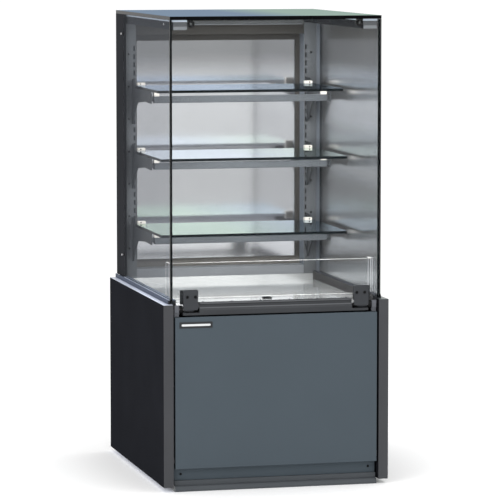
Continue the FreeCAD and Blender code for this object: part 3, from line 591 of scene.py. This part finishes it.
LOOKS = {
    "side_panel_left": PANEL_LEFT_TOP_HIGHLIGHT, "side_panel_right": PANEL_RIGHT_TOP_SHEEN, "edge_trims": STRIP_GREY,
    "front_panel": BLUE_GREY, "badge_plate": BADGE, "kick_board": BLUE_GREY,
    "kick_profile": KICK_GREY, "plinth_rail_rear": DARK_PANEL,
    "base_floor": BOARD, "levelling_feet": FEET, "storage_shelf": BOARD, "shelf_pegs": BRIGHT,
    "carcass_top": BOARD, "front_rail": PROFILE_DARK, "corner_blocks": BLOCK, "deck": DECK,
    "bottom_rail_left": RAIL_LEFT_SHEEN, "bottom_rail_right": RAIL_RIGHT_SHADE,
    "side_glass_left": GLASS_LEFT, "side_glass_right": GLASS_RIGHT, "top_glass": GLASS_TOP,
    "glazing_tape": TAPE, "top_rail_left": PROFILE_SHADED_SIDES, "top_rail_right": PROFILE_SHADED_SIDES,
    "catch_magnets": BLACK, "rear_post_left": PROFILE_SHADED_SIDES, "rear_post_right": PROFILE_RIGHT_LIT_INNER,
    "header_panel": HEADER_GREY, "header_lamp": LAMP_TOP,
    "rear_sill": SILL_GREY, "shelf_glass_top": SHELF_GLASS["top"],
    "shelf_glass_middle": SHELF_GLASS["middle"], "shelf_glass_bottom": SHELF_GLASS["bottom"],
    "shelf_brackets_top": PROFILE_DARK, "shelf_brackets_middle": PROFILE_DARK,
    "shelf_brackets_bottom": PROFILE_DARK, "shelf_lamp_top": LAMP, "shelf_lamp_middle": LAMP,
    "shelf_lamp_bottom": LAMP, "shelf_clips": WHITE, "riser_guard": ACRYLIC,
    "front_glass": GLASS_FRONT, "hinge_plate_left": HINGE, "hinge_plate_right": HINGE,
    "hinge_leaf_left": HINGE, "hinge_leaf_right": HINGE, "hinge_brackets": BLACK,
    "hinge_pins": BRIGHT, "rear_door_frame": FRAME_LIT_FOOT,
    "rear_door_insert": INSERT, "rear_door_handle": HANDLE, "door_hinge_pins": BRIGHT,
    "rear_door_knuckles": BRIGHT, "base_door": DARK_PANEL, "base_door_handle": HANDLE,
    "base_door_knuckles": BRIGHT, "lamp_driver": DRIVER,
}
# glass, sheet metal and hidden pieces show their CAD mesh; all others get rounded edges
KEPT = {"side_glass_left", "side_glass_right", "top_glass", "shelf_glass_top",
        "shelf_glass_middle", "shelf_glass_bottom", "riser_guard", "front_glass",
        "rear_door_insert", "deck", "glazing_tape", "shelf_pegs", "plinth_rail_rear",
        "base_floor", "carcass_top", "hinge_pins", "storage_shelf"}

for node, material in LOOKS.items():
    if node in KEPT:
        finish_node(node, material)
    else:
        refined(node, material)


# ------------------------------------------------------------------ shapes for detail pieces

SCREW_SIDES = 24
GROMMET_SIDES = 48


def ring_points(made, centre, across, up, radius, height, axis, count, hexagon=False):
    """A ring of points about an axis; a hexagonal one has its flats at radius."""
    ring = []
    for step in range(count):
        turn = 2*math.pi*step/count
        reach = radius
        if hexagon:
            reach = radius/math.cos((turn % (math.pi/3)) - math.pi/6)
        ring.append(made.verts.new(centre + axis*height + across*(reach*math.cos(turn))
                                   + up*(reach*math.sin(turn))))
    return ring


def join_rings(made, rings):
    """Faces between each ring and the next."""
    for low, high in zip(rings, rings[1:]):
        for step in range(len(low)):
            after = (step + 1) % len(low)
            made.faces.new((low[step], low[after], high[after], high[step]))


def button_screw(made, head_top, axis, radius, rise, length, socket=0.45):
    """A domed screw with a hexagonal socket and a plain shank, added to a mesh."""
    axis = Vector(axis)
    across = axis.orthogonal().normalized()
    up = axis.cross(across)
    profile = [(0.5*radius, -length, False), (0.5*radius, -rise, False),
               (0.97*radius, -rise, False), (radius, -0.8*rise, False),
               (0.93*radius, -0.45*rise, False), (0.78*radius, -0.16*rise, False),
               (0.6*radius, 0.0, False), (socket*radius, 0.0, True),
               (socket*radius, -0.7*rise, True)]
    rings = [ring_points(made, Vector(head_top), across, up, reach, height, axis, SCREW_SIDES,
                         hexagon)
             for reach, height, hexagon in profile]
    made.faces.new(list(reversed(rings[0])))
    made.faces.new(rings[-1])
    join_rings(made, rings)


def slab(made, low, high, bevel, keep_axis=None):
    """A block with rounded edges, or only those along keep_axis, added to a mesh."""
    block = bmesh.new()
    bmesh.ops.create_cube(block, size=1.0)
    for vert in block.verts:
        for axis in range(3):
            vert.co[axis] = low[axis] + (vert.co[axis] + 0.5)*(high[axis] - low[axis])
    edges = block.edges[:] if keep_axis is None else [
        edge for edge in block.edges
        if abs((edge.verts[0].co - edge.verts[1].co)[keep_axis]) > SAME_POINT]
    bmesh.ops.bevel(block, geom=edges, offset=bevel, segments=3, profile=0.5, affect="EDGES")
    copied = bpy.data.meshes.new("part")
    block.to_mesh(copied)
    block.free()
    made.from_mesh(copied)
    bpy.data.meshes.remove(copied)


def side_slab(made, side, near, far, low, high, bevel):
    """A block near to far from the middle on one side, between two (y, z) corners."""
    inner, outer = sorted((side*near, side*far))
    slab(made, (inner, *low), (outer, *high), bevel)


def piece(name, made, material, body, slot, replaced=()):
    """Turn a finished mesh into a visible piece that rides on a body."""
    bmesh.ops.recalc_face_normals(made, faces=made.faces)
    mesh = bpy.data.meshes.new(name)
    made.to_mesh(mesh)
    made.free()
    mesh.materials.append(material)
    item = bpy.data.objects.new(name, mesh)
    scene.collection.objects.link(item)
    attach(item, body)
    if replaced:
        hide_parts(*replaced)


def trim(name, made, material, like):
    """A small extra piece of the cabinet, riding on the deck's body."""
    piece(name, made, material, BODY_OF["deck"], SLOT_OF[like])


def islands(node):
    """The lowest and highest corner of each separate solid of a node."""
    made = bmesh.new()
    made.from_mesh(NODES[node].data)
    bmesh.ops.remove_doubles(made, verts=made.verts, dist=SAME_POINT)
    boxes, seen = [], set()
    for start in made.verts:
        if start in seen:
            continue
        seen.add(start)
        stack, points = [start], []
        while stack:
            vert = stack.pop()
            points.append(vert.co.copy())
            for edge in vert.link_edges:
                other = edge.other_vert(vert)
                if other not in seen:
                    seen.add(other)
                    stack.append(other)
        boxes.append((Vector([min(p[a] for p in points) for a in range(3)]),
                      Vector([max(p[a] for p in points) for a in range(3)])))
    made.free()
    return boxes


def screws(node, material, way, rise=2.0, socket=0.45):
    """Each screw of a node as a socket screw; way gives a box's outward direction."""
    made = bmesh.new()
    for low, high in islands(node):
        axis = Vector(way(low, high))
        centre = (low + high)/2
        along = max(range(3), key=lambda a: abs(axis[a]))
        length = (high - low)[along]
        radius = min((high - low)[a] for a in range(3) if a != along)/2
        button_screw(made, centre + axis*length/2, axis, radius, rise*MM, length, socket)
    piece(node + "_look", made, material, BODY_OF[node], SLOT_OF[node], (node,))


# ------------------------------------------------------------------ detail pieces

FORWARD = (0, -1, 0)
WEB_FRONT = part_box("header_panel")[0][1]        # y of the rear posts' and header's front face
FIXING_X, FIXING_TOP, FIXING_STEP, FIXINGS = 0.290, 1.242, 0.1, 7
LADDER_X = 0.2706, 0.2900                       # the slots lie between these
LADDER_Z = 0.60, 1.30
POCKET_X = 0.2295, 0.2775                       # the hinge pockets in the front rail
POCKET_Z = 0.5215, 0.5330
RAIL_HALF = 0.2280                              # half length of the rail's lines
HALF_DEPTH = 0.398                  # model y = depth from the panels' front edge - HALF_DEPTH
FINGER_HOLE = Vector((0.024, 0.212 - HALF_DEPTH, 0.533))        # its middle, on the deck
REAR_CLIP = 0.020                               # rear clips are taller than this


def refine_screws():
    screws("black_screws", SCREW_BLACK,
           lambda low, high: (0, 0, 1) if low.z > 0.5 else FORWARD)
    screws("steel_screws", BRIGHT, lambda low, high: (math.copysign(1, low.x), 0, 0))
    screws("hinge_screws", SCREW_BLACK, lambda low, high: FORWARD, rise=1.6, socket=0.5)


def detail_posts():
    # round fixings down the webs of the rear posts
    made = bmesh.new()
    for side in SIDES:
        for count in range(FIXINGS):
            head_top = (side*FIXING_X, WEB_FRONT - 0.0012, FIXING_TOP - FIXING_STEP*count)
            button_screw(made, head_top, FORWARD, 0.0034, 0.0012, 0.006, 0.4)
    trim("post_fixings", made, SCREW_BLACK, "black_screws")

    # painted shade: a black strip behind each ladder of slots, so the slots look dark
    made = bmesh.new()
    for side in SIDES:
        side_slab(made, side, *LADDER_X, (WEB_FRONT + 0.0095, LADDER_Z[0]),
                  (WEB_FRONT + 0.0105, LADDER_Z[1]), 0.0003)
    trim("slot_painted_shade", made, BLACK, "catch_magnets")


def detail_shelves():
    # set screw on the front of each rear clip
    made = bmesh.new()
    for low, high in islands("shelf_clips"):
        if high.z - low.z > REAR_CLIP:
            middle = (low.x + high.x)/2
            outward = math.copysign(1, middle)
            head_top = (middle + outward*0.003, low.y - 0.0006, high.z - 0.0038)
            button_screw(made, head_top, FORWARD, 0.0023, 0.0008, 0.003, 0.5)
    trim("clip_screws", made, SCREW_BLACK, "black_screws")

    # light strip under each shelf lamp and under the header lamp
    for level in LEVELS:
        low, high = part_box("shelf_lamp_" + level)
        made = bmesh.new()
        slab(made, (low[0] + 0.004, low[1] + 0.006, low[2] - 0.0002),
             (high[0] - 0.004, high[1] - 0.0075, low[2] + 0.0008), 0.0002)
        trim("shelf_diffuser_" + level, made, FROSTED, "shelf_clips")
    low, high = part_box("header_lamp")
    made = bmesh.new()
    slab(made, (low[0] + 0.004, low[1] + 0.003, low[2] - 0.0014),
         (high[0] - 0.004, high[1] - 0.003, low[2] + 0.0004), 0.0004)
    trim("header_diffuser", made, PALE_GREY, "shelf_clips")


def detail_top():
    # pale end caps on the lower step of the top rails, clear of the front glass
    low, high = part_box("top_rail_right")
    made = bmesh.new()
    for side in SIDES:
        side_slab(made, side, low[0] + 0.0005, high[0] - 0.0005,
                  (low[1] - 0.0004, low[2] + 0.0004), (low[1] + 0.0002, low[2] + 0.0098),
                  0.0002)
    trim("top_rail_caps", made, PALE_GREY, "top_rail_right")

    # steel face of each catch magnet, and its screw
    made = bmesh.new()
    for low, high in islands("catch_magnets"):
        head_top = ((low.x + high.x)/2, low.y - 0.0004, high.z - 0.0115)
        button_screw(made, head_top, FORWARD, 0.0030, 0.001, 0.003, 0.45)
    trim("magnet_faces", made, MAGNET, "steel_screws")


def detail_rails():
    # seals along the foot of each side glass: a pale painted highlight on the left, painted
    # shade on the right
    low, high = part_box("side_glass_right")
    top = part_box("bottom_rail_right")[1][2]
    wide = 0.0014
    for side, name, material in ((-1, "left", SEAL_LIT), (1, "right", SEAL_SHADE)):
        made = bmesh.new()
        for edge in (low[0] - wide, high[0]):
            side_slab(made, side, edge, edge + wide, (low[1] + 0.001, top - 0.0002),
                      (high[1], top + 0.0012), 0.0004)
        trim("glass_seals_" + name, made, material, "glazing_tape")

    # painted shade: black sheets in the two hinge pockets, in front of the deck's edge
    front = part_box("deck")[0][1]
    made = bmesh.new()
    for side in SIDES:
        side_slab(made, side, *POCKET_X, (front - 0.0007, POCKET_Z[0]),
                  (front - 0.0001, POCKET_Z[1]), 0.0002)
    trim("hinge_pocket_shade", made, BLACK, "hinge_brackets")

    # painted highlights on the front rail's lip and bead, and painted shade in its groove
    low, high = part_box("front_rail")
    upper_face, line = low[1] + 0.005, low[2] + 0.0225
    for name, material, low_z, high_z, proud in (
            ("rail_lip_highlight", RAIL_HIGHLIGHT, high[2] - 0.0045, high[2] - 0.0002, 0.0006),
            ("rail_groove_shade", BLACK, high[2] - 0.0060, high[2] - 0.0046, 0.0002),
            ("rail_bead_highlight", RAIL_HIGHLIGHT, line - 0.0034, line + 0.0006, 0.0016)):
        made = bmesh.new()
        slab(made, (-RAIL_HALF, upper_face - proud, low_z),
             (RAIL_HALF, upper_face + 0.0004, high_z), min(0.0004, proud/3))
        trim(name, made, material, "front_rail")


def detail_deck():
    # painted shade: a raised black ring in the finger hole, so the hole looks dark
    made = bmesh.new()
    across, back, up = Vector((1, 0, 0)), Vector((0, 1, 0)), Vector((0, 0, 1))
    profile = [(0.0095, -0.0012), (0.0138, -0.0012), (0.0138, 0.0001), (0.0152, 0.0001),
               (0.0152, 0.0026), (0.0140, 0.0040), (0.0116, 0.0042), (0.0100, 0.0030)]
    rings = [ring_points(made, FINGER_HOLE, across, back, reach, height, up, GROMMET_SIDES)
             for reach, height in profile]
    join_rings(made, rings + rings[:1])
    trim("finger_hole_shade", made, BLACK, "hinge_brackets")

    # painted highlights: pale strips on the edges of the riser's wings, for their glints
    low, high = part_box("riser_guard")
    half, wide = 0.0004, 0.0007
    made = bmesh.new()
    for side in SIDES:
        for at, inset in ((low[1], 0.0), (high[1], 0.0), (low[1], 0.0050)):
            edge = high[0] - inset
            side_slab(made, side, edge - wide, edge, (at - half, low[2] + 0.001),
                      (at + half, high[2] - 0.001), 0.0002)
    trim("riser_edge_glints", made, RISER_GLINT, "riser_guard")


def detail_badge():
    # plain raised bar on the badge plate, with no lettering
    low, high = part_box("badge_plate")
    middle = (low[2] + high[2])/2
    made = bmesh.new()
    slab(made, (low[0] + 0.006, low[1] - 0.0004, middle - 0.0030),
         (high[0] - 0.006, low[1] + 0.0004, middle + 0.0030), 0.0028, keep_axis=1)
    trim("badge_bar", made, PALE_BAR, "badge_plate")


refine_screws()
detail_posts()
detail_shelves()
detail_top()
detail_rails()
detail_deck()
detail_badge()
